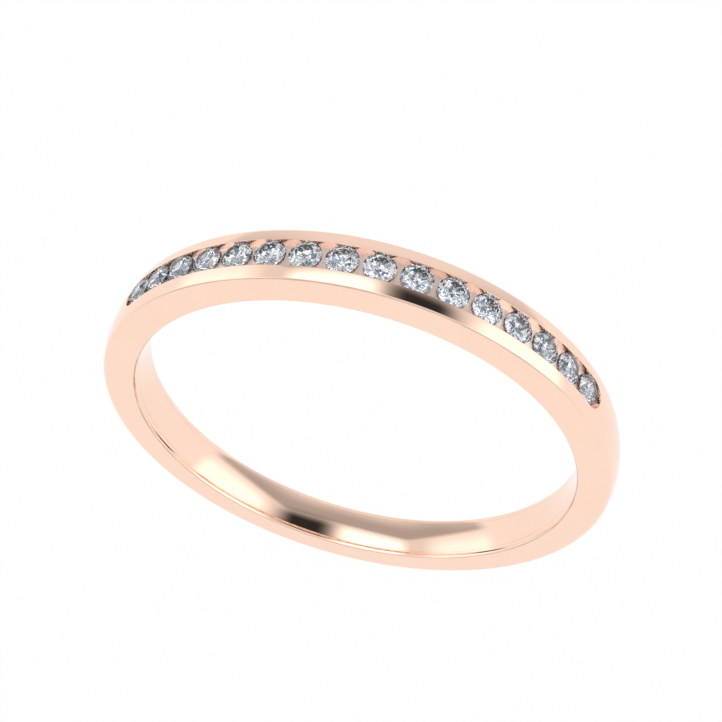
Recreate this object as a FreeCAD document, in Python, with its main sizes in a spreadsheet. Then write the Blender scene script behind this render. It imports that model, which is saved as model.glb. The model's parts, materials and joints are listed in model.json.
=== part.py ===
import FreeCAD, Part

import math
import os

import Sketcher

# Channel-set wedding band, millimetres.
#
# Origin: centre of the finger bore.  +Z: up through the middle of the stone row.
# The ring's own axis lies along Y, with the front side face at -Y.
#
# The bore is round about the origin, straight in the middle and opening a little towards
# both side faces, so that it slides over the knuckle.  Everything outside it is drawn
# about the crown axis, which is parallel to Y and stands a little above the bore's
# centre, so the band is thickest under the stones.  The side faces lean, which makes
# the band narrower at the back of the finger than beside the stones.

SIZES = {
    # band
    "bore_radius": 8.65,          # US size 7
    "band_width": 2.20,           # across the outer edges at the very top
    "shank_width": 1.80,          # across the outer edges at the very bottom
    "crown_lift": 0.03,           # height of the crown axis above the bore's centre
    "wall": 1.365,                # bore to a side face's outer edge, taken level with the crown axis
    "dome_rise_head": 0.12,       # how far the domed outside stands above that edge
    "dome_rise_shank": 0.24,
    "side_stock": 0.05,           # ground off each side face to make it flat
    "bore_straight": 0.80,        # width of the bore's straight middle
    "bore_flare": 0.10,           # how far the bore has opened where it meets a side face at the top
    # stones
    "stone_count": 16,
    "stone_diameter": 1.18,
    "stone_gap": 0.12,            # between neighbouring girdles
    "stone_turn": 37.0,           # each stone is turned this much more than the last
    "girdle_drop": 0.03,          # girdle plane below the edge radius
    "girdle_thickness": 0.03,
    "table_ratio": 0.57,          # table width to stone diameter
    "crown_angle": 34.5,
    "pavilion_angle": 40.8,
    "star_ratio": 0.50,           # how far the star facets reach from table to girdle
    "lower_half_ratio": 0.77,     # how far the lower halves reach from girdle to culet
    "culet_radius": 0.01,
    # channel
    "rail_grip": 0.027,           # how far each rail reaches over a girdle
    "stone_clearance": 0.01,
    "floor_drop": 0.32,           # channel floor below the girdle plane
    "end_room": 0.20,             # channel left open past the end stones' own seats
    "azure_diameter": 0.60,       # light hole drilled under each stone
}

SECTION_ANGLES = range(0, 360, 20)

HEAD_TURN = 35                # degrees from the top over which the section stays as it is there
SHANK_TURN = 115              # degrees from the top where it has become the shank's


def make_sheet(doc):
    """Put every driving dimension in its own named cell."""
    sheet = doc.addObject("Spreadsheet::Sheet", "sizes")
    for row, (alias, value) in enumerate(SIZES.items(), start=1):
        sheet.set(f"A{row}", alias)
        sheet.set(f"B{row}", str(value))
        sheet.setAlias(f"B{row}", alias)
    return sheet


def size(alias):
    """Expression text for one cell of the sheet."""
    return f"<<sizes>>.{alias}"


MIDDLE_HALF_WIDTH = f"(({size('band_width')} + {size('shank_width')}) / 4)"
LEAN_OUT = f"(({size('band_width')} - {size('shank_width')}) / 4)"
EDGE_RADIUS = f"({size('bore_radius')} + {size('wall')})"
GIRDLE_RADIUS = f"({EDGE_RADIUS} - {size('girdle_drop')})"
STONE_RADIUS = f"({size('stone_diameter')} / 2)"
HALF_GIRDLE = f"({size('girdle_thickness')} / 2)"
STONE_PITCH = f"(2 * asin(({size('stone_diameter')} + {size('stone_gap')}) / 2 / {GIRDLE_RADIUS}))"
HALF_ROW = f"(({size('stone_count')} - 1) / 2 * {STONE_PITCH})"
HALF_CHANNEL = f"({HALF_ROW} + atan({size('end_room')} / {GIRDLE_RADIUS}))"
CHANNEL_HALF = f"({STONE_RADIUS} - {size('rail_grip')})"
LEAN = f"atan({LEAN_OUT} / {EDGE_RADIUS})"
CROWN_HEIGHT = f"({STONE_RADIUS} * (1 - {size('table_ratio')}) * tan({size('crown_angle')}))"
PAVILION_DEPTH = f"({STONE_RADIUS} * tan({size('pavilion_angle')}))"


def value(owner, expression):
    """Number that an expression stands for, without its unit."""
    result = owner.evalExpression(expression)
    return float(getattr(result, "Value", result))


def origin_plane(body, role):
    """One of the body's own origin planes, by its role."""
    return next(item for item in body.Origin.OriginFeatures if item.Role == role)


def new_sketch(body, name, role="YZ_Plane", lift=None, turn=None, shift=None):
    """Sketch on an origin plane of its own body.

    On the YZ plane the sketch's x runs along the ring's axis and its y away from the
    crown axis; turn swings that plane about the crown axis, away from the top of the
    ring and towards +X.  On the XZ plane turn leans the plane about its own x.
    """
    sketch = body.newObject("Sketcher::SketchObject", name)
    sketch.AttachmentSupport = [(origin_plane(body, role), "")]
    sketch.MapMode = "FlatFace"
    if turn is not None:
        sketch.AttachmentOffset = FreeCAD.Placement(
            FreeCAD.Vector(0, 0, 0), FreeCAD.Rotation(FreeCAD.Vector(1, 0, 0), 1.0))
        sketch.setExpression("AttachmentOffset.Rotation.Angle", turn)
    if lift is not None:
        sketch.setExpression("AttachmentOffset.Base.y", lift)
    if shift is not None:
        sketch.setExpression("AttachmentOffset.Base.z", shift)
    return sketch


def bind(sketch, constraint, expression):
    """Add a dimension to a sketch and tie it to the sheet."""
    index = sketch.addConstraint(constraint)
    sketch.setExpression(f"Constraints[{index}]", expression)


def draw_polygon(sketch, corners):
    """Closed polygon whose every corner is tied to the sheet by two expressions."""
    points = [FreeCAD.Vector(value(sketch, x), value(sketch, y), 0) for x, y in corners]
    count = len(points)
    for start in range(count):
        sketch.addGeometry(Part.LineSegment(points[start], points[(start + 1) % count]))
    for start in range(count):
        sketch.addConstraint(Sketcher.Constraint("Coincident", start, 2, (start + 1) % count, 1))
    for index, (x, y) in enumerate(corners):
        bind(sketch, Sketcher.Constraint("DistanceX", -1, 1, index, 1, points[index].x), x)
        bind(sketch, Sketcher.Constraint("DistanceY", -1, 1, index, 1, points[index].y), y)


def draw_circle(sketch, radius):
    """Circle on the sketch's own origin."""
    number = value(sketch, radius)
    sketch.addGeometry(Part.Circle(FreeCAD.Vector(0, 0, 0), FreeCAD.Vector(0, 0, 1), number))
    sketch.addConstraint(Sketcher.Constraint("Coincident", 0, 3, -1, 1))
    bind(sketch, Sketcher.Constraint("Radius", 0, number), radius)


def head_share(angle):
    """1 beside the middle stones, falling smoothly to 0 round the sides of the finger."""
    from_top = abs((angle + 180) % 360 - 180)
    way = (from_top - HEAD_TURN) / (SHANK_TURN - HEAD_TURN)
    way = min(max(way, 0), 1)
    return 1 - way * way * (3 - 2 * way)


def blend(alias, angle):
    """Expression that blends a head size into its shank size round the band."""
    share = round(head_share(angle), 6)
    return f"({share} * {size(alias + '_head')} + {1 - share:.6f} * {size(alias + '_shank')})"


def draw_section(sketch, angle):
    """Band section: straight sides and a domed outside, wide enough to grind the sides.

    The dome is one arc.  Its centre lies on the middle plane, and it meets the finished
    side faces at the edge radius whatever its rise and the band's width there.
    """
    rise = blend("dome_rise", angle)
    half_width = f"({MIDDLE_HALF_WIDTH} + {LEAN_OUT} * cos({angle}))"
    wide = f"({half_width} + {size('side_stock')})"
    inside = f"({size('bore_radius')} - 2 * {size('crown_lift')} - {size('side_stock')})"
    dome = f"(({half_width} * {half_width} + {rise} * {rise}) / 2 / {rise})"
    dome_centre = f"({EDGE_RADIUS} + {rise} - {dome})"

    wide_number = value(sketch, wide)
    inside_number = value(sketch, inside)
    dome_number = value(sketch, dome)
    centre_number = value(sketch, dome_centre)
    shoulder = centre_number + math.sqrt(dome_number ** 2 - wide_number ** 2)
    start = math.atan2(shoulder - centre_number, wide_number)

    inner_left = FreeCAD.Vector(-wide_number, inside_number, 0)
    inner_right = FreeCAD.Vector(wide_number, inside_number, 0)
    outer_right = FreeCAD.Vector(wide_number, shoulder, 0)
    outer_left = FreeCAD.Vector(-wide_number, shoulder, 0)
    centre = FreeCAD.Vector(0, centre_number, 0)
    circle = Part.Circle(centre, FreeCAD.Vector(0, 0, 1), dome_number)
    sketch.addGeometry(Part.LineSegment(inner_left, inner_right))
    sketch.addGeometry(Part.LineSegment(inner_right, outer_right))
    sketch.addGeometry(Part.ArcOfCircle(circle, start, math.pi - start))
    sketch.addGeometry(Part.LineSegment(outer_left, inner_left))
    sketch.addConstraint([
        Sketcher.Constraint("Coincident", 0, 2, 1, 1),
        Sketcher.Constraint("Coincident", 1, 2, 2, 1),
        Sketcher.Constraint("Coincident", 2, 2, 3, 1),
        Sketcher.Constraint("Coincident", 3, 2, 0, 1),
        Sketcher.Constraint("Horizontal", 0),
        Sketcher.Constraint("Vertical", 1),
        Sketcher.Constraint("Vertical", 3),
        Sketcher.Constraint("PointOnObject", 2, 3, -2),
    ])
    bind(sketch, Sketcher.Constraint("DistanceX", -1, 1, 0, 2, wide_number), wide)
    bind(sketch, Sketcher.Constraint("DistanceX", 0, 1, -1, 1, wide_number), wide)
    bind(sketch, Sketcher.Constraint("DistanceY", -1, 1, 0, 1, inside_number), inside)
    bind(sketch, Sketcher.Constraint("DistanceY", -1, 1, 2, 3, centre_number), dome_centre)
    bind(sketch, Sketcher.Constraint("Radius", 2, dome_number), dome)


def channel_corners():
    """Half section of the channel, floor to open top, as (out from the middle, height).

    Each wall has a notch at girdle height, which the stones' girdles sit in; its upper
    side slopes like the crown and its lower side like the pavilion.
    """
    bite = f"({size('rail_grip')} + {size('stone_clearance')})"
    lip = f"({HALF_GIRDLE} + {size('stone_clearance')})"
    notch_out = f"({CHANNEL_HALF} + {bite})"
    return [
        ("0", f"({GIRDLE_RADIUS} - {size('floor_drop')})"),
        (CHANNEL_HALF, f"({GIRDLE_RADIUS} - {size('floor_drop')})"),
        (CHANNEL_HALF, f"({GIRDLE_RADIUS} - {lip} - {bite} * tan({size('pavilion_angle')}))"),
        (notch_out, f"({GIRDLE_RADIUS} - {lip})"),
        (notch_out, f"({GIRDLE_RADIUS} + {lip})"),
        (CHANNEL_HALF, f"({GIRDLE_RADIUS} + {lip} + {bite} * tan({size('crown_angle')}))"),
        (CHANNEL_HALF, f"({EDGE_RADIUS} + {size('band_width')})"),
        ("0", f"({EDGE_RADIUS} + {size('band_width')})"),
    ]


def cut_checked(doc, body, feature, before):
    """Recompute, make the cut the body's tip and be sure that it took metal away."""
    body.Tip = feature
    doc.recompute()
    if not feature.Shape.Volume < before - 1e-6:
        raise RuntimeError(f"{feature.Name} removed nothing")
    return feature


def bore_corners():
    """Section of the finger bore, as (along the ring's axis, out from it).

    The middle is straight and both ends open outwards in a shallow cone, which reaches
    its full flare where it meets the side faces at the top of the ring.
    """
    straight = f"({size('bore_straight')} / 2)"
    end = size("band_width")
    flare = f"({size('bore_flare')} * ({end} - {straight}) / ({end} / 2 - {straight}))"
    wide = f"({size('bore_radius')} + {flare})"
    return [
        (f"-{end}", "0"), (f"-{end}", wide), (f"-{straight}", size("bore_radius")),
        (straight, size("bore_radius")), (end, wide), (end, "0"),
    ]


def make_band(doc):
    """The cast band: domed ring, finger bore, flat sides, channel, seats and light holes."""
    body = doc.addObject("PartDesign::Body", "band")
    body.Label = "band"
    lift = size("crown_lift")

    sections = []
    for angle in SECTION_ANGLES:
        sketch = new_sketch(body, f"section_{angle:03d}", lift=lift, turn=f"{angle + 180} deg")
        draw_section(sketch, angle + 180)
        sections.append(sketch)
    loft = body.newObject("PartDesign::AdditiveLoft", "domed_ring")
    loft.Profile = (sections[0], [""])
    loft.Sections = [(sketch, [""]) for sketch in sections[1:]]
    loft.Closed = True
    doc.recompute()

    bore_sketch = new_sketch(body, "bore_section")
    draw_polygon(bore_sketch, bore_corners())
    bore = body.newObject("PartDesign::Groove", "finger_bore")
    bore.Profile = bore_sketch
    bore.ReferenceAxis = (bore_sketch, ["H_Axis"])
    bore.Angle = 360.0
    cut_checked(doc, body, bore, loft.Shape.Volume)
    last = bore

    for side, sign in (("front", ""), ("back", "-")):
        face = new_sketch(body, f"{side}_stock", role="XZ_Plane", lift=lift,
                          turn=f"{sign}{LEAN}", shift=f"{sign}{MIDDLE_HALF_WIDTH}")
        draw_circle(face, f"({EDGE_RADIUS} + {size('band_width')})")
        trim = body.newObject("PartDesign::Pocket", f"{side}_face")
        trim.Profile = face
        trim.Type = "Length"
        trim.setExpression("Length", f"4 * {size('side_stock')}")
        trim.Reversed = side == "front"
        cut_checked(doc, body, trim, last.Shape.Volume)
        last = trim

    half = channel_corners()
    mirrored = [(f"-{x}", y) for x, y in reversed(half[1:-1])]
    channel_sketch = new_sketch(body, "channel_section", lift=lift)
    draw_polygon(channel_sketch, half[1:-1] + mirrored)
    channel = body.newObject("PartDesign::Groove", "channel")
    channel.Profile = channel_sketch
    channel.ReferenceAxis = (channel_sketch, ["H_Axis"])
    channel.Midplane = True
    channel.setExpression("Angle", f"2 * {HALF_CHANNEL}")
    cut_checked(doc, body, channel, last.Shape.Volume)
    last = channel

    for end, turn in (("left", f"-{HALF_CHANNEL}"), ("right", HALF_CHANNEL)):
        end_sketch = new_sketch(body, f"{end}_end_section", lift=lift, turn=turn)
        draw_polygon(end_sketch, half)
        round_end = body.newObject("PartDesign::Groove", f"{end}_end")
        round_end.Profile = end_sketch
        round_end.ReferenceAxis = (end_sketch, ["V_Axis"])
        round_end.Angle = 360.0
        cut_checked(doc, body, round_end, last.Shape.Volume)
        last = round_end

    hole_sketch = new_sketch(body, "azure_section", lift=lift, turn=f"-{HALF_ROW}")
    hole_radius = f"({size('azure_diameter')} / 2)"
    hole_inside = f"({size('bore_radius')} - 2 * {size('crown_lift')})"
    draw_polygon(hole_sketch, [
        ("0", hole_inside), (hole_radius, hole_inside), (hole_radius, GIRDLE_RADIUS), ("0", GIRDLE_RADIUS),
    ])
    hole = body.newObject("PartDesign::Groove", "first_azure")
    hole.Profile = hole_sketch
    hole.ReferenceAxis = (hole_sketch, ["V_Axis"])
    hole.Angle = 360.0
    cut_checked(doc, body, hole, last.Shape.Volume)
    holes = body.newObject("PartDesign::PolarPattern", "azures")
    holes.Originals = [hole]
    holes.Axis = (channel_sketch, ["H_Axis"])
    holes.Mode = "Spacing"
    holes.setExpression("Offset", STONE_PITCH)
    holes.setExpression("Occurrences", size("stone_count"))
    cut_checked(doc, body, holes, hole.Shape.Volume)
    return body


STONE_FOLD = 8                              # a round brilliant repeats eight times
STEP = 360 / STONE_FOLD                     # between neighbouring main facets
HALF_STEP = STEP / 2
QUARTER_STEP = STEP / 4


def facet_tiers():
    """Facet planes as (name, azimuth, copies, radius, height, slope) expressions.

    Each plane passes through (radius, height) in the vertical plane at its azimuth and
    falls away outwards by slope; the pavilion's planes are the same seen upside down.
    """
    table = f"({STONE_RADIUS} * {size('table_ratio')})"
    crown = f"tan({size('crown_angle')})"
    pavilion = f"tan({size('pavilion_angle')})"
    half = f"cos({HALF_STEP})"
    quarter = f"cos({QUARTER_STEP})"
    star = f"({table} * {half} + ({STONE_RADIUS} - {table} * {half}) * {size('star_ratio')})"
    star_rise = f"(({STONE_RADIUS} - {star} * {half}) * {crown})"
    upper = f"({star_rise} / (({STONE_RADIUS} - {star}) * {quarter}))"
    star_slope = f"(({CROWN_HEIGHT} - {star_rise}) / ({star} - {table} * {half}))"
    tip = f"({STONE_RADIUS} * (1 - {size('lower_half_ratio')}))"
    lower = f"((({STONE_RADIUS} - {tip} * {half}) * {pavilion}) / (({STONE_RADIUS} - {tip}) * {quarter}))"
    girdle_flat = f"({STONE_RADIUS} * {quarter})"
    star_height = f"({HALF_GIRDLE} + {star_rise})"
    crown_side = [
        ("bezels", 0, STONE_FOLD, STONE_RADIUS, HALF_GIRDLE, crown),
        ("upper_halves", QUARTER_STEP, 2 * STONE_FOLD, girdle_flat, HALF_GIRDLE, upper),
        ("stars", HALF_STEP, STONE_FOLD, star, star_height, star_slope),
    ]
    pavilion_side = [
        ("mains", 0, STONE_FOLD, STONE_RADIUS, HALF_GIRDLE, pavilion),
        ("lower_halves", QUARTER_STEP, 2 * STONE_FOLD, girdle_flat, HALF_GIRDLE, lower),
    ]
    return crown_side, pavilion_side


def make_brilliant(doc):
    """Master stone, cut as a lapidary cuts it: a girdled blank, then tier after tier.

    The girdle plane is z = 0, the table faces +Z and the culet -Z.
    """
    body = doc.addObject("PartDesign::Body", "brilliant")
    top = f"({HALF_GIRDLE} + {CROWN_HEIGHT})"
    bottom = f"({HALF_GIRDLE} + ({STONE_RADIUS} - {size('culet_radius')}) * tan({size('pavilion_angle')}))"
    outline = new_sketch(body, "girdle_outline", role="XY_Plane", shift=f"-{bottom}")
    corners = []
    for index in range(2 * STONE_FOLD):
        azimuth = index * HALF_STEP
        corners.append((f"({STONE_RADIUS} * cos({azimuth}))", f"({STONE_RADIUS} * sin({azimuth}))"))
    draw_polygon(outline, corners)
    blank = body.newObject("PartDesign::Pad", "blank")
    blank.Profile = outline
    blank.setExpression("Length", f"{top} + {bottom}")
    doc.recompute()

    last = blank
    reach = f"({size('stone_diameter')})"
    crown_side, pavilion_side = facet_tiers()
    for sign, tiers in (("", crown_side), ("-", pavilion_side)):
        for name, azimuth, copies, radius, height, slope in tiers:
            sketch = body.newObject("Sketcher::SketchObject", f"{name}_line")
            sketch.AttachmentSupport = [(origin_plane(body, "XZ_Plane"), "")]
            sketch.MapMode = "FlatFace"
            sketch.AttachmentOffset = FreeCAD.Placement(
                FreeCAD.Vector(0, 0, 0), FreeCAD.Rotation(FreeCAD.Vector(0, 1, 0), azimuth))
            outer = f"({radius} + {reach})"
            outer_height = f"{sign}({height} - {reach} * {slope})"
            axis_height = f"{sign}({height} + {radius} * {slope})"
            draw_polygon(sketch, [(outer, outer_height), (outer, axis_height), ("0", axis_height)])
            first = body.newObject("PartDesign::Pocket", f"first_of_{name}")
            first.Profile = sketch
            first.Type = "ThroughAll"
            first.Midplane = True
            cut_checked(doc, body, first, last.Shape.Volume)
            tier = body.newObject("PartDesign::PolarPattern", name)
            tier.Originals = [first]
            tier.Axis = (origin_plane(body, "Z_Axis"), [""])
            tier.Angle = 360.0
            tier.Occurrences = copies
            cut_checked(doc, body, tier, first.Shape.Volume)
            last = tier
    return body


def set_stone(doc, master, index):
    """One stone in its seat: a clone of the master, turned and stood on the crown circle."""
    name = f"stone_{index + 1:02d}"
    stone = doc.addObject("PartDesign::Body", name)
    stone.Label = name
    clone = doc.addObject("PartDesign::FeatureBase", f"{name}_cut")
    clone.BaseFeature = master
    stone.Group = [clone]
    stone.Tip = clone
    clone.Placement = FreeCAD.Placement(
        FreeCAD.Vector(0, 0, 0), FreeCAD.Rotation(FreeCAD.Vector(0, 0, 1), 1.0))
    clone.setExpression("Placement.Rotation.Angle", f"{size('stone_turn')} * {index} * 1 deg")
    stone.Placement = FreeCAD.Placement(
        FreeCAD.Vector(0, 0, 0), FreeCAD.Rotation(FreeCAD.Vector(0, 1, 0), 1.0))
    swing = f"({index} * {STONE_PITCH} - {HALF_ROW})"
    stone.setExpression("Placement.Rotation.Angle", swing)
    stone.setExpression("Placement.Base.x", f"{GIRDLE_RADIUS} * sin({swing})")
    stone.setExpression("Placement.Base.z", f"{size('crown_lift')} + {GIRDLE_RADIUS} * cos({swing})")
    return stone


def check(doc, pieces):
    """Stop if any object failed to compute or any piece is not one sound solid."""
    for item in doc.Objects:
        if "Invalid" in item.State or "Error" in item.State:
            raise RuntimeError(f"{item.Label} failed: {item.State}")
    for piece in pieces:
        shape = piece.Shape
        if shape.isNull() or not shape.isValid() or len(shape.Solids) != 1:
            raise RuntimeError(f"{piece.Label} is not one sound solid")


def main():
    doc = FreeCAD.newDocument("wedding_band")
    sheet = make_sheet(doc)
    doc.recompute()
    pieces = [make_band(doc)]
    brilliant = make_brilliant(doc)
    for index in range(int(sheet.get("stone_count"))):
        pieces.append(set_stone(doc, brilliant, index))
    doc.recompute()
    check(doc, pieces)
    os.makedirs("parts", exist_ok=True)
    for piece in pieces:
        piece.Shape.exportStep(f"parts/{piece.Label}.step")
        print(piece.Label, round(piece.Shape.Volume, 5))


main()
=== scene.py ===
import json
import math

import bmesh
import bpy
import numpy as np
from mathutils import Matrix, Vector


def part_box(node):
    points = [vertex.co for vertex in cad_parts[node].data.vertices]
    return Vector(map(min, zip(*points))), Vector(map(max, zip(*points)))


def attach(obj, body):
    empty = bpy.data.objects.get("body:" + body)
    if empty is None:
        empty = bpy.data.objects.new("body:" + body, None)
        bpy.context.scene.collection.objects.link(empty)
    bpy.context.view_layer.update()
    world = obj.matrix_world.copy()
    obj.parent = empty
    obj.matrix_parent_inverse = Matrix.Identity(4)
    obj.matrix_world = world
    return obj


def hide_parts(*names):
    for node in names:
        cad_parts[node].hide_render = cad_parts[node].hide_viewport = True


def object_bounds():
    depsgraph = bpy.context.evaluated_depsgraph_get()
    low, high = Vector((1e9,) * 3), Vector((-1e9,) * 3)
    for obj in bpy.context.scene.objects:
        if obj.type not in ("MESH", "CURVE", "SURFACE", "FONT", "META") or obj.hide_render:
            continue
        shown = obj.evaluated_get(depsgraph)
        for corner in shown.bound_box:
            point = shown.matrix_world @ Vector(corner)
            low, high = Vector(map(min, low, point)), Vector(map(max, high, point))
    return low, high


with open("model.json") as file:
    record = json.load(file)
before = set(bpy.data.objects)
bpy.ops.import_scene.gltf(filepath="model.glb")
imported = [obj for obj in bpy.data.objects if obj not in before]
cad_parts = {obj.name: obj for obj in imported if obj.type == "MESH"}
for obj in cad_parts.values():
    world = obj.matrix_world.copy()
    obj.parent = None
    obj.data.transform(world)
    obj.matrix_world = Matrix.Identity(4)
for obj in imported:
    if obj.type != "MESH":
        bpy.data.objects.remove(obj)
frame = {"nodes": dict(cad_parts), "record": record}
cad_low, cad_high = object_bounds()

MM = 0.001

# Sizes of the ring, in millimetres, as the construction has them.  The ring's axis is
# world Y.  Everything outside the bore is drawn about the crown axis, CROWN_LIFT above the
# bore's own; a "crown angle" is the angle about it from the top towards +X.
BORE_RADIUS = frame["record"]["mounts"][0]["dims"]["r_mm"]
BORE_CURVE = 4.5          # radius of the bore's convex section, which eases the finger in
EASED_FROM = 0.69         # across, from here on the bore opens by EASE times the square as well
EASE = 0.28
TOP_HALF_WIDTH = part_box("band")[1].y / MM
SHANK_HALF_WIDTH = 0.90   # at the back of the finger
RISE_HEAD = 0.12          # the dome's crest above its edges, beside the stones
RISE_SHANK = 0.24         # and round the finger
CROWN_LIFT = 0.03
EDGE_RADIUS = -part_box("band")[0].z / MM + CROWN_LIFT - RISE_SHANK
SOFT_HEAD = 0.09          # radius of the crease between dome and side face
SOFT_SHANK = 0.30
RIM_ROUND = 0.05          # radius between a side face and the bore
LIP = 0.012               # radius that breaks the channel's edge
LIP_HOLD = 0.01           # the wall's next row lies this far under it
MIDDLE_HALF_WIDTH = (TOP_HALF_WIDTH + SHANK_HALF_WIDTH) / 2
LEAN = (TOP_HALF_WIDTH - SHANK_HALF_WIDTH) / 2 / EDGE_RADIUS

STONES = sorted(name for name in frame["nodes"] if name.startswith("stone_"))
GIRDLE_RADIUS = EDGE_RADIUS - 0.03
HALF_GIRDLE = 0.015
STONE_RADIUS = 0.59
STONE_GAP = 0.12
CROWN_SLOPE = math.tan(math.radians(34.5))
PAVILION_SLOPE = math.tan(math.radians(40.8))
PITCH = 2 * math.asin((2 * STONE_RADIUS + STONE_GAP) / 2 / GIRDLE_RADIUS)
ROW_HALF = (len(STONES) - 1) / 2 * PITCH
CHANNEL_HALF = STONE_RADIUS - 0.027
GIRDLE_ROOM = 0.004       # clearance round a girdle in its notch
NOTCH_ROOM = 0.005        # and above and below it
SEAT_ROOM = 0.012         # clearance under a pavilion
WEB_RADIUS = GIRDLE_RADIUS - 0.06   # metal left between the stones' seats
SEAT_RADIUS = 0.552       # a seat's cone meets the web here
HOLE_RADIUS = 0.30        # light holes under the stones
END_ROOM = 0.20           # channel left open past the end stones' own seats
HEAD_TURN = math.radians(35)        # the head's section holds up to here from the top
SHANK_TURN = math.radians(115)      # and the shank's from here on


# ---------------------------------------------------------------- band surfaces

CELL = 16                 # rows of the mesh per stone, and columns across the channel
CAP_TURN = math.radians(45)         # an end's arc belongs to the sides up to here
ROOM_ROWS = 3             # rows along the room past an end stone
SHANK_ROWS = 220
SEAT_RINGS = (HOLE_RADIUS, 0.31, 0.42, 0.54, SEAT_RADIUS)
WEB_STEPS = (0.08, 0.5, 0.92, 1.0)  # from the seat's last ring to the cell's border
BORE_STEPS = np.array([0.0, 0.06, 0.3, 0.6, 1.0])[:, None, None]    # the same, in the bore
HOLE_STEPS = np.array([0.0, 0.03, 0.97, 1.0])[:, None, None]        # up a light hole
HOLE_TURNS = math.radians(135) + np.arange(4 * CELL) * 2 * math.pi / (4 * CELL)
SHARP_ANGLE = math.radians(32)      # edges steeper than this stay crisp


def head_share(angle):
    """1 beside the middle stones, falling smoothly to 0 round the sides of the finger."""
    from_top = np.abs((angle + math.pi) % (2 * math.pi) - math.pi)
    way = np.clip((from_top - HEAD_TURN) / (SHANK_TURN - HEAD_TURN), 0, 1)
    return 1 - way * way * (3 - 2 * way)


def half_width(out, angle):
    """Half width of the band where a side face lies at distance out from the crown axis."""
    return MIDDLE_HALF_WIDTH + LEAN * out * np.cos(angle)


def dome(angle):
    """Radius and centre height of the dome's arc at each crown angle."""
    share = head_share(angle)
    rise = RISE_HEAD * share + RISE_SHANK * (1 - share)
    radius = (half_width(EDGE_RADIUS, angle) ** 2 + rise ** 2) / 2 / rise
    return radius, EDGE_RADIUS + rise - radius


def edge_round(angle):
    """Radius that softens the crease: crisp beside the stones, fuller round the finger."""
    share = head_share(angle)
    return SOFT_HEAD * share + SOFT_SHANK * (1 - share)


def ring_point(out, across, angle):
    """Point at distance out from the crown axis, across along Y, at a crown angle."""
    return np.stack([
        out * np.sin(angle),
        across + 0 * out * angle,
        CROWN_LIFT + out * np.cos(angle),
    ], axis=-1)


def dome_out(across, angle):
    """Distance of the dome from the crown axis: centre + sqrt(radius^2 - across^2)."""
    radius, centre = dome(angle)
    return centre + np.sqrt(radius ** 2 - across ** 2)


def bore_radius(across):
    """Radius of the finger bore: BORE_RADIUS + across^2 / 2 curve + ease (across - from)^2."""
    across = np.abs(across)
    return BORE_RADIUS + across ** 2 / 2 / BORE_CURVE + EASE * np.maximum(across - EASED_FROM, 0) ** 2


def circle_out(radius, angle):
    """Distance from the crown axis to a circle of any radius about the origin."""
    drop = CROWN_LIFT * np.cos(angle)
    return -drop + np.sqrt(radius ** 2 - (CROWN_LIFT * np.sin(angle)) ** 2)


def bore_out(across, angle):
    """Distance from the crown axis to the finger bore."""
    return circle_out(bore_radius(across), angle)


class Soup:
    """Collects grids of points as quads; shared borders are merged at the end."""

    def __init__(self):
        self.points = []
        self.faces = []
        self.count = 0

    def grid(self, points, closed=False):
        """points[row, column, xyz]; closed joins the last row to the first."""
        rows, columns = points.shape[:2]
        index = np.arange(rows * columns).reshape(rows, columns) + self.count
        after = np.roll(index, -1, axis=0) if closed else index[1:]
        before = index if closed else index[:-1]
        quads = np.stack([before[:, :-1], before[:, 1:], after[:, 1:], after[:, :-1]], axis=-1)
        self.points.append(points.reshape(-1, 3))
        self.faces.append(quads.reshape(-1, 4))
        self.count += rows * columns

    def mesh(self, name):
        """One closed mesh in metres, doubles merged and faces turned outwards."""
        points = np.concatenate(self.points) * MM
        faces = np.concatenate(self.faces)
        data = bpy.data.meshes.new(name)
        data.from_pydata(points.tolist(), [], faces.tolist())
        work = bmesh.new()
        work.from_mesh(data)
        bmesh.ops.remove_doubles(work, verts=work.verts, dist=1e-8)
        bmesh.ops.dissolve_degenerate(work, edges=work.edges, dist=1e-9)
        bmesh.ops.recalc_face_normals(work, faces=work.faces)
        work.to_mesh(data)
        work.free()
        return data


def slot_outline(grow):
    """The channel's outline, grown outwards: (across, crown angle) for each row and side.

    Straight sides along the row, then each end turns CAP_TURN of a circle about the last
    stone; the far part of each end is capped by slot_cap.
    """
    half = CHANNEL_HALF + grow
    stones = np.linspace(-ROW_HALF, ROW_HALF, CELL * (len(STONES) - 1) + 1)
    room = np.arange(1, ROOM_ROWS + 1) * END_ROOM / ROOM_ROWS
    turn = np.linspace(0, CAP_TURN, CELL // 2 - ROOM_ROWS + 1)[1:]
    ahead = np.concatenate([room, END_ROOM + half * np.sin(turn)]) / GIRDLE_RADIUS
    aside = np.concatenate([np.full(room.shape, half), half * np.cos(turn)])
    across = np.concatenate([aside[::-1], np.full(stones.shape, half), aside])
    angle = np.concatenate([(-ROW_HALF - ahead)[::-1], stones, ROW_HALF + ahead])
    return across, angle


def slot_cap(grow, end):
    """The far part of a channel end, from the +Y side to the -Y side; end is +1 or -1."""
    half = CHANNEL_HALF + grow
    turn = np.linspace(CAP_TURN, math.pi - CAP_TURN, CELL + 1)
    return half * np.cos(turn), end * (ROW_HALF + (END_ROOM + half * np.sin(turn)) / GIRDLE_RADIUS)


def wall_levels():
    """Corners of a girdle's notch in the wall, as (grow, height above the girdle) pairs."""
    bite = STONE_RADIUS + GIRDLE_ROOM - CHANNEL_HALF
    open_by = HALF_GIRDLE + NOTCH_ROOM
    return [
        (0.0, open_by + bite * CROWN_SLOPE),
        (bite, open_by),
        (bite, -open_by),
        (0.0, -open_by - bite * PAVILION_SLOPE),
    ]


def stone_near(angle):
    """Crown angle of the stone nearest to each crown angle."""
    return np.clip((np.floor(angle / PITCH) + 0.5) * PITCH, -ROW_HALF, ROW_HALF)


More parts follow.
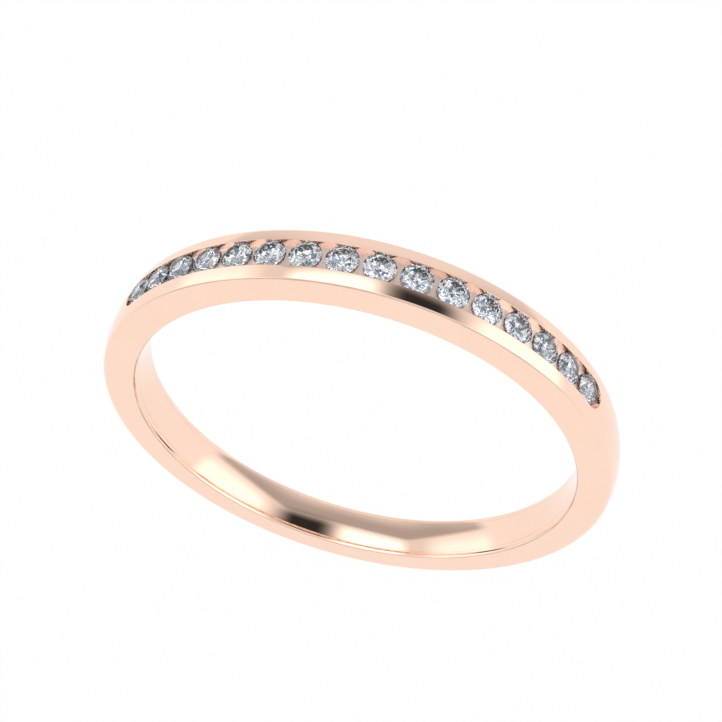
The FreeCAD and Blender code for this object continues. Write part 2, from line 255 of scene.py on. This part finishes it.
def seat_share(angle, bite):
    """How far a girdle's round notch reaches into the wall, 1 at the stone and 0 between."""
    along = GIRDLE_RADIUS * (angle - stone_near(angle))
    reach = np.sqrt(np.maximum((CHANNEL_HALF + bite) ** 2 - along ** 2, CHANNEL_HALF ** 2))
    return (reach - CHANNEL_HALF) / bite


def wall_points(outline):
    """Grid of the channel's wall, from the dome down to the web.

    outline(grow) gives the rows' (across, angle), grown outwards.  The wall starts with a
    quarter circle of radius LIP, then follows the notches and meets the web at grow 0.
    """
    across, angle = outline(0.0)
    edge = dome_out(*outline(LIP))
    columns = []
    for turn in np.linspace(0, math.pi / 2, 5):
        lip_across, lip_angle = outline(LIP * (1 - math.sin(turn)))
        columns.append(ring_point(edge - LIP * (1 - math.cos(turn)), lip_across, lip_angle))
    columns.append(ring_point(edge - LIP - LIP_HOLD, across, angle))
    for grow, height in wall_levels():
        level = GIRDLE_RADIUS + height + 0 * angle
        share = seat_share(angle, grow) if grow else 0 * angle
        grown_across, grown_angle = outline(grow)
        notch_across = across + (grown_across - across) * share
        notch_angle = angle + (grown_angle - angle) * share
        columns.append(ring_point(level, notch_across, notch_angle))
    columns.append(ring_point(WEB_RADIUS + 0 * angle, across, angle))
    return np.stack(columns, axis=1)


def shank_rows():
    """Crown angles from the right end of the channel, round the finger, to the left end."""
    angle = slot_outline(LIP)[1]
    return np.linspace(angle[-1], 2 * math.pi + angle[0], SHANK_ROWS + 1)


def loop_rows():
    """Crown angles of all rows of the band, once round."""
    return np.concatenate([slot_outline(LIP)[1], shank_rows()[1:-1]])


def centre_half():
    """Half width of the strip that the channel interrupts, at every row of the loop."""
    across = slot_outline(LIP)[0]
    return np.concatenate([across, np.full(SHANK_ROWS - 1, across[0])])


def outside_strip(side):
    """Rail and shank outside on one side: crease, its rounding and the dome up to the slot."""
    angle = loop_rows()
    radius, centre = dome(angle)
    soft = edge_round(angle)
    corner_across = half_width(EDGE_RADIUS, angle) - soft
    corner_out = centre + np.sqrt((radius - soft) ** 2 - corner_across ** 2)
    spread = np.arctan2(corner_out - centre, corner_across)
    columns = []
    for step in np.linspace(0, 1, 9):
        turn = spread * step
        out = corner_out + soft * np.sin(turn)
        columns.append(ring_point(out, side * (corner_across + soft * np.cos(turn)), angle))
    start = radius * np.cos(spread)
    stop = centre_half()
    for step in [0.02, 0.1, 0.25, 0.4, 0.55, 0.7, 0.85, 0.98, 1.0]:
        across = start + (stop - start) * step
        columns.append(ring_point(dome_out(across, angle), side * across, angle))
    return np.stack(columns, axis=1)


def rounded_corner(before, corner, after, radius, steps):
    """Arc that rounds a corner of an (across, bore radius) outline, tangent to both sides."""
    before, corner, after = (np.array(point, float) for point in (before, corner, after))
    back = (before - corner) / np.linalg.norm(before - corner)
    ahead = (after - corner) / np.linalg.norm(after - corner)
    half = math.acos(float(back @ ahead)) / 2
    middle = (back + ahead) / np.linalg.norm(back + ahead)
    centre = corner + middle * radius / math.sin(half)
    turns = np.linspace(-1, 1, steps) * (math.pi / 2 - half)
    tangent = ahead - middle * (ahead @ middle)
    tangent = tangent / np.linalg.norm(tangent)
    return centre - radius * (np.cos(turns)[:, None] * middle - np.sin(turns)[:, None] * tangent)


def side_strip(side):
    """Side face, rounded rim and bore on one side, from the crease to the bore's middle strip."""
    angle = loop_rows()
    crease = outside_strip(side)[:, 0]
    rim = (MIDDLE_HALF_WIDTH, bore_radius(MIDDLE_HALF_WIDTH))
    inside = (rim[0] - 1, rim[1] - MIDDLE_HALF_WIDTH / BORE_CURVE)
    arc = rounded_corner((rim[0], rim[1] + 1), rim, inside, RIM_ROUND, 7)
    half = half_width(bore_radius(MIDDLE_HALF_WIDTH), angle)
    open_by = bore_radius(half) - rim[1]
    lower = [
        ring_point(circle_out(radius + open_by, angle), side * (across + half - rim[0]), angle)
        for across, radius in arc
    ]
    start = half - (rim[0] - arc[-1][0])
    for step in [0.03, 0.15, 0.3, 0.45, 0.6, 0.75, 0.9, 1.0]:
        across = start + (CHANNEL_HALF - start) * step
        lower.append(ring_point(bore_out(across, angle), side * across, angle))
    lower = np.stack(lower, axis=1)
    steps = np.array([0.0, 0.02, 0.15, 0.35, 0.6, 0.85, 0.98])
    upper = crease[:, None] + (lower[:, :1] - crease[:, None]) * steps[:, None]
    return np.concatenate([upper, lower], axis=1)


def perimeter(left_cap, right_cap, angle, across):
    """Border of one cell about a stone, as (across, angle): left cap from +Y to -Y, along
    the -Y side, right cap back to +Y, and home along the +Y side."""
    parts = [
        left_cap[:-1],
        np.stack([-across, angle], axis=1)[:-1],
        right_cap[::-1][:-1],
        np.stack([across, angle], axis=1)[::-1][:-1],
    ]
    return np.concatenate(parts)


def hole_circle(stone):
    """Light hole under a stone where it meets the bore: (across, angle) pairs.

    The angle solves sin(angle - stone) = along / bore_out, by repeated substitution.
    """
    along = HOLE_RADIUS * np.cos(HOLE_TURNS)
    across = HOLE_RADIUS * np.sin(HOLE_TURNS)
    angle = np.full(HOLE_TURNS.shape, stone)
    for _ in range(6):
        angle = stone + np.arcsin(along / bore_out(across, angle))
    return np.stack([across, angle], axis=1)


def seat_circle(stone, far):
    """Circle on a stone's seat, a cone just clear of its pavilion: (across, angle, out)."""
    along = far * np.cos(HOLE_TURNS)
    depth = HALF_GIRDLE + SEAT_ROOM + (STONE_RADIUS - far) * PAVILION_SLOPE
    out = np.hypot(GIRDLE_RADIUS - depth, along)
    return np.stack([far * np.sin(HOLE_TURNS), stone + np.arcsin(along / out), out], axis=1)


def cells(soup):
    """Seats and web under the row, the bore strip below and the light holes that join them."""
    slot_across, slot_angle = slot_outline(0.0)
    bore_angle = loop_rows()[:len(slot_angle)]
    bore_across = np.full(bore_angle.shape, CHANNEL_HALF)
    columns = np.linspace(1, -1, CELL + 1)

    def straight(angle):
        return np.stack([CHANNEL_HALF * columns, np.full(columns.shape, angle)], axis=1)

    def closed(rings):
        return np.concatenate([rings, rings[:, :1]], axis=1)

    last = len(STONES) - 1
    for number in range(len(STONES)):
        rows = slice(number * CELL, (number + 1) * CELL + 1)
        stone = slot_angle[number * CELL + CELL // 2]

        left, right = straight(slot_angle[rows][0]), straight(slot_angle[rows][-1])
        if number == 0:
            left = np.stack(slot_cap(0.0, -1), axis=1)
        if number == last:
            right = np.stack(slot_cap(0.0, 1), axis=1)
        border = perimeter(left, right, slot_angle[rows], slot_across[rows])
        border = np.concatenate([border, np.full((len(border), 1), WEB_RADIUS)], axis=1)
        seat = [seat_circle(stone, far) for far in SEAT_RINGS]
        web = [seat[-1] + (border - seat[-1]) * step for step in WEB_STEPS]
        flat = closed(np.stack(seat + web))
        soup.grid(ring_point(flat[..., 2], flat[..., 0], flat[..., 1]))

        left, right = straight(bore_angle[rows][0]), straight(bore_angle[rows][-1])
        border = perimeter(left, right, bore_angle[rows], bore_across[rows])
        circle = hole_circle(stone)
        flat = closed(circle + (border - circle) * BORE_STEPS)
        soup.grid(ring_point(bore_out(flat[..., 0], flat[..., 1]), flat[..., 0], flat[..., 1]))

        high = ring_point(seat[0][:, 2], seat[0][:, 0], seat[0][:, 1])
        low = ring_point(bore_out(circle[:, 0], circle[:, 1]), circle[:, 0], circle[:, 1])
        soup.grid(closed(low + (high - low) * HOLE_STEPS))


def make_band():
    """The polished band: a profile carried round the crown axis, row by row.

    Its outside is the dome less the channel, whose rows end in caps that turn about the
    end stones; the sides are flat, and the inside is the bore with its gently convex section.
    """
    soup = Soup()
    for side in (1, -1):
        soup.grid(outside_strip(side), closed=True)
        soup.grid(side_strip(side), closed=True)
        soup.grid(wall_points(lambda grow: sided(slot_outline(grow), side)))
        soup.grid(wall_points(lambda grow: slot_cap(grow, side)))

    cap_across, right_angle = slot_cap(LIP, 1)
    left_angle = slot_cap(LIP, -1)[1]
    rows = shank_rows()
    # The first and last rows of the shank's crest bend round the channel's ends.
    fade = np.clip(1 - np.arange(len(rows)) / CELL, 0, 1)[:, None]
    right_bend = fade * (right_angle - right_angle[0])
    left_bend = fade[::-1] * (left_angle - left_angle[0])
    angle = rows[:, None] + right_bend + left_bend
    across = np.broadcast_to(cap_across, angle.shape)
    soup.grid(ring_point(dome_out(across, angle), across, angle))

    cells(soup)
    angle = np.broadcast_to(rows[:, None], (len(rows), CELL + 1))
    across = np.broadcast_to(CHANNEL_HALF * np.linspace(1, -1, CELL + 1), angle.shape)
    soup.grid(ring_point(bore_out(across, angle), across, angle))

    data = soup.mesh("band_polished")
    data.shade_smooth()
    data.set_sharp_from_angle(angle=SHARP_ANGLE)
    band = bpy.data.objects.new("band_polished", data)
    bpy.context.scene.collection.objects.link(band)
    return band


def sided(outline, side):
    """An outline moved to the +Y or -Y side."""
    across, angle = outline
    return side * across, angle


band = make_band()
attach(band, "root")
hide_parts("band")


# ---------------------------------------------------------------- node helpers

def plug(tree, socket, value):
    """Gives an input a number, a tuple or another node's output."""
    if isinstance(value, (int, float, tuple)):
        socket.default_value = value
    else:
        tree.links.new(value, socket)


def node(tree, kind, inputs=None, **properties):
    """Adds a node; properties are set on it, and inputs maps socket titles to values."""
    made = tree.nodes.new(kind)
    for key, value in properties.items():
        setattr(made, key, value)
    for title, value in (inputs or {}).items():
        plug(tree, made.inputs[title], value)
    return made


def math_node(tree, operation, first, second=0.0, clamp=False):
    """A Math node; first and second are sockets or numbers."""
    made = node(tree, "ShaderNodeMath", operation=operation, use_clamp=clamp)
    plug(tree, made.inputs[0], first)
    plug(tree, made.inputs[1], second)
    return made.outputs[0]


def times(tree, *factors):
    """Product of sockets and numbers, taken from left to right."""
    product = factors[0]
    for factor in factors[1:]:
        product = math_node(tree, "MULTIPLY", product, factor)
    return product


def ramp(tree, value, start, stop, **properties):
    """Map Range that takes start to 0 and stop to 1; each is a number or a socket."""
    inputs = {"Value": value, "From Min": start, "From Max": stop}
    return node(tree, "ShaderNodeMapRange", inputs, **properties).outputs[0]


def mix_colour(tree, share, first, second):
    """Mix of two colours; each is a socket or an (r, g, b, 1) tuple."""
    made = node(tree, "ShaderNodeMix", {"Factor": share}, data_type="RGBA", clamp_factor=True)
    plug(tree, made.inputs[6], first)
    plug(tree, made.inputs[7], second)
    return made.outputs[2]


def new_group(name, inputs, outputs):
    """An empty node group; inputs and outputs are rows of a socket type and its titles."""
    group = bpy.data.node_groups.new(name, "ShaderNodeTree")
    for in_out, rows in (("INPUT", inputs), ("OUTPUT", outputs)):
        for kind, *titles in rows:
            for title in titles:
                group.interface.new_socket(title, in_out=in_out, socket_type="NodeSocket" + kind)
    given = node(group, "NodeGroupInput").outputs
    result = node(group, "NodeGroupOutput").inputs
    return group, given, result


def use_group(tree, group, **inputs):
    """Places a group, sets its inputs and gives its outputs."""
    return node(tree, "ShaderNodeGroup", inputs, node_tree=group).outputs


# ---------------------------------------------------------------- materials

# Tones as (r, g, b, 1); a share is how much of a tone shows where its mask is 1.
ROSE_GOLD = (1.0, 0.725, 0.585, 1)
ROSE_GOLD_DEEPER = (0.99, 0.705, 0.56, 1)
# Painted light: a paler tone laid over the channel.
CHANNEL_PAINTED_LIGHT = (0.98, 0.79, 0.72, 1)
CHANNEL_LIGHT_SHARE = 0.8
# Painted shade: grey-blue over the seats under the stones.
SEAT_PAINTED_SHADE = (0.50, 0.58, 0.72, 1)
SEAT_SHADE_SHARE = 0.85
# Painted shade: dark lines along the bore's ease, the rim and the crease.
EDGE_SHADE_TONE = (0.30, 0.19, 0.15, 1)
EASED_SHARE = 0.4
CREASE_SHARE = 0.7
STONE_TONE = (0.94, 0.98, 1.0, 1)
# Painted fire: violet and green tints in place of the stone's dispersion.
STONE_FIRE_VIOLET = (0.93, 0.92, 1.0, 1)
STONE_FIRE_GREEN = (0.84, 0.97, 0.92, 1)
GREEN_SHARE = 0.7
GREEN_HUE = 0.85                      # patches of a greater hue are green
# Painted shade: facet patches that turn dark, in place of dark reflections in the stone.
STONE_PAINTED_SHADE = (0.04, 0.07, 0.14, 1)
DARK_SHADE = (0.26, 0.20)             # and they darken as their shade falls from here to here

# Where the channel's painted lighter tone shows: across the channel, between two radii about the
# bore's axis.
CHANNEL_EDGE = CHANNEL_HALF + 0.02
CHANNEL_NONE = GIRDLE_RADIUS + 0.11
CHANNEL_FULL = GIRDLE_RADIUS + 0.06
CHANNEL_LOW = BORE_RADIUS + 0.15
SEAT_TOP = WEB_RADIUS - 0.008         # crown radius under which metal is a seat

# Lines of painted shade along the edges, as places and the widths over which they fade.
EDGE_SHADE_TOP = BORE_RADIUS + 0.3          # the bore's two painted shade lines stay under this radius
EASED_WIDTH = 0.022
RIM_PLACE = bore_radius(MIDDLE_HALF_WIDTH) + 0.01
RIM_WIDTH = 0.028
CREASE_PLACE = EDGE_RADIUS - 0.035
CREASE_WIDTH = 0.032
CREASE_ACROSS = 0.85                  # only farther from the middle plane than this
CREASE_NONE = math.radians(58)        # and fading out down the sides of the finger
CREASE_FULL = math.radians(36)

POLISH = (0.035, 0.065)               # least and greatest roughness of the polished metal
LINES_ROUGHER = 0.03                  # added to it by the deeper polishing lines
CHANNEL_ROUGHER = 0.24                # and in the channel
LINE_STRETCH = 4.0                    # lines' noise round the finger, per radian
LINE_DENSITY = 38.0                   # and across it, per millimetre
LINE_DEEP = (0.58, 0.70)              # noise between which a line counts as a deeper one
LINE_STRENGTH = 0.04
LINE_HEIGHT = 0.000004                # metres
STONE_POLISH = (0.0, 0.006)
DIAMOND_IOR = 2.417


def make_place_group():
    """Where a point lies on the ring: millimetres from the bore's axis, from the crown axis
    and from the middle plane, and the angle round the finger from the top."""
    outputs = [("Float", "Out", "Crown", "Across", "Turn"), ("Vector", "Point")]
    group, _, result = new_group("ring_place", [], outputs)
    metres = node(group, "ShaderNodeTexCoord").outputs["Object"]
    point = node(group, "ShaderNodeVectorMath", operation="SCALE")
    plug(group, point.inputs[0], metres)
    plug(group, point.inputs["Scale"], 1 / MM)
    split = node(group, "ShaderNodeSeparateXYZ", {"Vector": point.outputs[0]}).outputs
    square = times(group, split["X"], split["X"])
    above = math_node(group, "SUBTRACT", split["Z"], CROWN_LIFT)
    for title, height in (("Out", split["Z"]), ("Crown", above)):
        total = math_node(group, "ADD", square, times(group, height, height))
        plug(group, result[title], math_node(group, "SQRT", total))
    plug(group, result["Across"], math_node(group, "ABSOLUTE", split["Y"]))
    plug(group, result["Turn"], math_node(group, "ARCTAN2", split["X"], split["Z"]))
    plug(group, result["Point"], point.outputs[0])
    return group


def make_line_group():
    """A soft line: 1 where Value equals Place, falling to 0 over Width to both sides."""
    inputs = [("Float", "Value", "Place", "Width")]
    group, given, result = new_group("soft_line", inputs, [("Float", "Mask")])
    apart = math_node(group, "SUBTRACT", given["Value"], given["Place"])
    apart = math_node(group, "DIVIDE", math_node(group, "ABSOLUTE", apart), given["Width"])
    plug(group, result["Mask"], math_node(group, "SUBTRACT", 1.0, apart, clamp=True))
    return group


def make_variation_group():
    """Cloudy value between Low and High over a surface, for colour and polish."""
    inputs = [("Vector", "Point"), ("Float", "Scale", "Low", "High")]
    group, given, result = new_group("variation", inputs, [("Float", "Value")])
    point = {"Vector": given["Point"], "Scale": given["Scale"], "Detail": 3.0}
    noise = node(group, "ShaderNodeTexNoise", point)
    spread = {
        "Value": noise.outputs["Fac"],
        "From Min": 0.3,
        "From Max": 0.7,
        "To Min": given["Low"],
        "To Max": given["High"],
    }
    plug(group, result["Value"], node(group, "ShaderNodeMapRange", spread).outputs[0])
    return group


def make_hairline_group():
    """Fine polishing lines that run along the band: a height and a mask of the deeper ones."""
    inputs = [("Float", "Turn", "Across", "Out", "Density")]
    group, given, result = new_group("hairlines", inputs, [("Float", "Height", "Mask")])
    stretched = {
        "X": times(group, given["Turn"], LINE_STRETCH),
        "Y": times(group, given["Across"], given["Density"]),
        "Z": times(group, given["Out"], given["Density"]),
    }
    place = node(group, "ShaderNodeCombineXYZ", stretched).outputs[0]
    grain = {"Vector": place, "Scale": 1.0, "Detail": 4.0, "Roughness": 0.65}
    height = node(group, "ShaderNodeTexNoise", grain).outputs["Fac"]
    plug(group, result["Height"], height)
    plug(group, result["Mask"], ramp(group, height, *LINE_DEEP))
    return group


def make_facet_group():
    """Angular patches of random shade and hue."""
    inputs = [("Vector", "Point"), ("Float", "Scale")]
    group, given, result = new_group("facet_flash", inputs, [("Float", "Shade", "Hue")])
    point = {"Vector": given["Point"], "Scale": given["Scale"]}
    cells_colour = node(group, "ShaderNodeTexVoronoi", point).outputs["Color"]
    split = node(group, "ShaderNodeSeparateColor", {"Color": cells_colour}).outputs
    plug(group, result["Shade"], split[0])
    plug(group, result["Hue"], split[1])
    return group


PLACE = make_place_group()
FACETS = make_facet_group()
LINE = make_line_group()
VARIATION = make_variation_group()
HAIRLINES = make_hairline_group()


def new_material(name):
    """A material with its node tree and its Principled shader's inputs."""
    material = bpy.data.materials.new(name)
    material.use_nodes = True
    tree = material.node_tree
    return material, tree, tree.nodes["Principled BSDF"].inputs


def make_rose_gold():
    """Polished rose gold: cloudy tone, polishing lines, painted light that makes the channel paler,
    painted shade that greys the seats, and dark lines of painted shade along the edges.
    """
    material, tree, shader = new_material("rose_gold_polished")
    shader["Metallic"].default_value = 1
    place = use_group(tree, PLACE)
    titles = ("Out", "Crown", "Across", "Turn", "Point")
    out, crown, across, turn, point = (place[title] for title in titles)

    tone = use_group(tree, VARIATION, Point=point, Scale=0.45, Low=0.0, High=1.0)[0]
    colour = mix_colour(tree, tone, ROSE_GOLD, ROSE_GOLD_DEEPER)

    # Painted light: the channel is a little paler than the outside. Painted shade: the seats under
    # the stones are grey.
    between = math_node(tree, "LESS_THAN", across, CHANNEL_EDGE)
    under = ramp(tree, out, CHANNEL_NONE, CHANNEL_FULL)
    above = math_node(tree, "GREATER_THAN", out, CHANNEL_LOW)
    inside = times(tree, between, under, above)
    colour = mix_colour(tree, times(tree, inside, CHANNEL_LIGHT_SHARE), colour, CHANNEL_PAINTED_LIGHT)
    # Painted shade under the stones: the seats turn grey-blue.
    seat = times(tree, math_node(tree, "LESS_THAN", crown, SEAT_TOP), inside)
    colour = mix_colour(tree, times(tree, seat, SEAT_SHADE_SHARE), colour, SEAT_PAINTED_SHADE)

    # Painted shade lines: where the bore's ease starts, where the rim meets the side face, and along
    # the crease.
    low = math_node(tree, "LESS_THAN", out, EDGE_SHADE_TOP)
    eased = use_group(tree, LINE, Value=across, Place=EASED_FROM, Width=EASED_WIDTH)[0]
    rim = use_group(tree, LINE, Value=out, Place=RIM_PLACE, Width=RIM_WIDTH)[0]
    shade_lines = times(tree, math_node(tree, "MAXIMUM", times(tree, eased, EASED_SHARE), rim), low)
    crease = use_group(tree, LINE, Value=crown, Place=CREASE_PLACE, Width=CREASE_WIDTH)[0]
    outer = math_node(tree, "GREATER_THAN", across, CREASE_ACROSS)
    beside = ramp(tree, math_node(tree, "ABSOLUTE", turn), CREASE_NONE, CREASE_FULL)
    crease = times(tree, crease, outer, beside, CREASE_SHARE)
    broken = use_group(tree, VARIATION, Point=point, Scale=0.9, Low=0.45, High=1.0)[0]
    shade_lines = times(tree, math_node(tree, "MAXIMUM", shade_lines, crease), broken)
    plug(tree, shader["Base Color"], mix_colour(tree, shade_lines, colour, EDGE_SHADE_TONE))

    lines = use_group(tree, HAIRLINES, Turn=turn, Across=across, Out=out, Density=LINE_DENSITY)
    rough = use_group(tree, VARIATION, Point=point, Scale=1.3, Low=POLISH[0], High=POLISH[1])[0]
    rough = math_node(tree, "ADD", rough, times(tree, lines["Mask"], LINES_ROUGHER))
    rough = math_node(tree, "ADD", rough, times(tree, inside, CHANNEL_ROUGHER))
    plug(tree, shader["Roughness"], rough)
    height = {"Strength": LINE_STRENGTH, "Distance": LINE_HEIGHT, "Height": lines["Height"]}
    plug(tree, shader["Normal"], node(tree, "ShaderNodeBump", height).outputs[0])
    return material


def make_diamond():
    """Clear diamond with painted light in patches: dark patches of painted shade, and green patches
    and a drift from blue to violet painted in as fire, the colours of dispersion.
    """
    material, tree, shader = new_material("diamond_clear")
    shader["IOR"].default_value = DIAMOND_IOR
    shader["Metallic"].default_value = 0
    shader["Transmission Weight"].default_value = 1
    point = use_group(tree, PLACE)["Point"]
    flash = use_group(tree, FACETS, Point=point, Scale=8.5)
    # Painted fire: a drift from blue to violet, and green facet patches.
    violet = use_group(tree, VARIATION, Point=point, Scale=2.3, Low=0.0, High=1.0)[0]
    colour = mix_colour(tree, violet, STONE_TONE, STONE_FIRE_VIOLET)
    green = math_node(tree, "GREATER_THAN", flash["Hue"], GREEN_HUE)
    colour = mix_colour(tree, times(tree, green, GREEN_SHARE), colour, STONE_FIRE_GREEN)
    # Painted shade: dark facet patches.
    colour = mix_colour(tree, ramp(tree, flash["Shade"], *DARK_SHADE), colour, STONE_PAINTED_SHADE)
    plug(tree, shader["Base Color"], colour)
    low, high = STONE_POLISH
    rough = use_group(tree, VARIATION, Point=point, Scale=5.0, Low=low, High=high)[0]
    plug(tree, shader["Roughness"], rough)
    return material


band.data.materials.append(make_rose_gold())
diamond = make_diamond()
for name in STONES:
    stone = frame["nodes"][name]
    stone.data.materials.clear()
    stone.data.materials.append(diamond)


# ---------------------------------------------------------------- studio

FLOOR_HALF = 0.6          # metres
FLOOR_TONE = (0.94, 0.94, 0.94, 1)
FLOOR_ROUGHNESS = 0.6
SEEN_WHITE = 0.97         # share of plain white in the floor that the camera sees
MIRRORED_WHITE = 0.85     # and in the floor that the metal and the stones show
WHITE = (1, 1, 1, 1)
HORIZON = (0.0, 0.16)     # height of a direction over which the white gives way to the walls
LEAST_AHEAD = 0.05        # a direction nearer than this to a wall's plane misses it

# Walls of the studio, as directions (ahead, side, up).
WALLS = {
    "back": ((0, 1, 0), (1, 0, 0), (0, 0, 1)),
    "left": ((-1, 0, 0), (0, 1, 0), (0, 0, 1)),
    "right": ((1, 0, 0), (0, 1, 0), (0, 0, 1)),
    "ceiling": ((0, 0, 1), (1, 0, 0), (0, 1, 0)),
}

ROOM_LEVEL = 0.84         # light from every direction that no panel covers

# Panels as (wall, left, right, bottom, top, softness, level), each laid over the last.
PANELS = [
    ("left", -1.5, 0.56, -0.5, 0.84, 0.24, 1.34),       # light at the left
    ("right", -1.5, 0.64, -0.5, 1.10, 0.26, 1.50),      # light at the right
    ("back", -1.45, 1.22, -1.0, 1.95, 0.14, 0.45),      # back wall, darkest in its corners
    ("back", -1.20, 1.02, -1.0, 0.50, 0.30, 0.66),
    ("back", -0.74, 0.68, -1.0, 1.02, 0.38, 0.90),
    ("ceiling", -0.68, 0.06, -0.6, 0.42, 0.12, 1.66),   # light overhead
    ("ceiling", 0.06, 0.64, -0.2, 0.50, 0.17, 0.03),    # dark opening beside it
]


def make_floor():
    """Plain pale table under the ring."""
    size = FLOOR_HALF
    corners = [(-size, -size, 0), (size, -size, 0), (size, size, 0), (-size, size, 0)]
    data = bpy.data.meshes.new("table_top")
    data.from_pydata(corners, [], [(0, 1, 2, 3)])
    floor = bpy.data.objects.new("table_top", data)
    floor.location.z = cad_low[2]
    bpy.context.scene.collection.objects.link(floor)
    material, tree, shader = new_material("table_white")
    shader["Base Color"].default_value = FLOOR_TONE
    shader["Roughness"].default_value = FLOOR_ROUGHNESS
    path = node(tree, "ShaderNodeLightPath").outputs
    mirrored = math_node(tree, "MAXIMUM", path["Is Glossy Ray"], path["Is Transmission Ray"])
    direct = times(tree, path["Is Camera Ray"], SEEN_WHITE)
    seen = math_node(tree, "MAXIMUM", direct, times(tree, mirrored, MIRRORED_WHITE))
    white = node(tree, "ShaderNodeEmission", {"Color": WHITE})
    mix = node(tree, "ShaderNodeMixShader")
    plug(tree, mix.inputs[0], seen)
    plug(tree, mix.inputs[1], tree.nodes["Principled BSDF"].outputs[0])
    plug(tree, mix.inputs[2], white.outputs[0])
    plug(tree, tree.nodes["Material Output"].inputs["Surface"], mix.outputs[0])
    data.materials.append(material)
    return floor


def wall_panel_group():
    """Mask of one soft-edged panel on a wall of a room about the ring, by direction.

    A direction meets the wall at across = (direction . side) / (direction . ahead) and
    up = (direction . up) / (direction . ahead), in units of the wall's distance.
    """
    inputs = [
        ("Vector", "Direction", "Ahead", "Side", "Up"),
        ("Float", "Left", "Right", "Bottom", "Top", "Softness"),
    ]
    group, given, result = new_group("wall_panel", inputs, [("Float", "Mask")])

    def dot(other):
        made = node(group, "ShaderNodeVectorMath", operation="DOT_PRODUCT")
        plug(group, made.inputs[0], given["Direction"])
        plug(group, made.inputs[1], given[other])
        return made.outputs["Value"]

    ahead = dot("Ahead")
    mask = math_node(group, "GREATER_THAN", ahead, LEAST_AHEAD)
    safe = math_node(group, "MAXIMUM", ahead, LEAST_AHEAD)
    for axis, low, high in (("Side", "Left", "Right"), ("Up", "Bottom", "Top")):
        place = math_node(group, "DIVIDE", dot(axis), safe)
        for edge, outer, inner in ((low, "SUBTRACT", "ADD"), (high, "ADD", "SUBTRACT")):
            start = math_node(group, outer, given[edge], given["Softness"])
            stop = math_node(group, inner, given[edge], given["Softness"])
            fade = ramp(group, place, start, stop, interpolation_type="SMOOTHSTEP")
            mask = times(group, mask, fade)
    plug(group, result["Mask"], mask)
    return group


def make_world():
    """Pale studio: white to the eye, with lights and shaded panels that the metal mirrors."""
    world = bpy.data.worlds.new("studio")
    bpy.context.scene.world = world
    world.use_nodes = True
    tree = world.node_tree
    direction = node(tree, "ShaderNodeTexCoord").outputs["Generated"]
    group = wall_panel_group()
    titles = ("Ahead", "Side", "Up", "Left", "Right", "Bottom", "Top", "Softness")
    level = ROOM_LEVEL
    for wall, *edges, target in PANELS:
        inputs = dict(zip(titles, (*WALLS[wall], *edges)))
        mask = use_group(tree, group, Direction=direction, **inputs)["Mask"]
        change = times(tree, mask, math_node(tree, "SUBTRACT", target, level))
        level = math_node(tree, "ADD", change, level)

    height = node(tree, "ShaderNodeSeparateXYZ", {"Vector": direction}).outputs["Z"]
    rise = ramp(tree, height, *HORIZON, interpolation_type="SMOOTHSTEP")
    camera_ray = node(tree, "ShaderNodeLightPath").outputs["Is Camera Ray"]
    share = times(tree, rise, math_node(tree, "SUBTRACT", 1.0, camera_ray))
    change = times(tree, math_node(tree, "SUBTRACT", level, 1.0), share)
    background = tree.nodes["Background"].inputs
    plug(tree, background["Strength"], math_node(tree, "ADD", change, 1.0))
    background["Color"].default_value = WHITE


CAMERA_LENS = 71.1524     # millimetres, on a sensor 36 wide
CAMERA_SENSOR = 36
CAMERA_PLACE = Vector((6.8289, -28.8627, 47.3385)) * MM
CAMERA_RIGHT = Vector((0.96844301, 0.24877532, 0.01513197))
CAMERA_UP = Vector((-0.21323138, 0.79558292, 0.56708041))
CAMERA_CLIP = (0.001, 10)


def make_camera():
    """The camera: rows of its turn are its right, its up and the direction behind it."""
    data = bpy.data.cameras.new("view")
    data.lens = CAMERA_LENS
    data.sensor_width = CAMERA_SENSOR
    data.clip_start, data.clip_end = CAMERA_CLIP
    camera = bpy.data.objects.new("view", data)
    turn = Matrix((CAMERA_RIGHT, CAMERA_UP, CAMERA_RIGHT.cross(CAMERA_UP)))
    camera.matrix_world = Matrix.Translation(CAMERA_PLACE) @ turn.transposed().to_4x4()
    bpy.context.scene.collection.objects.link(camera)
    bpy.context.scene.camera = camera


make_floor()
make_world()
make_camera()
bpy.context.scene.view_settings.view_transform = "Standard"
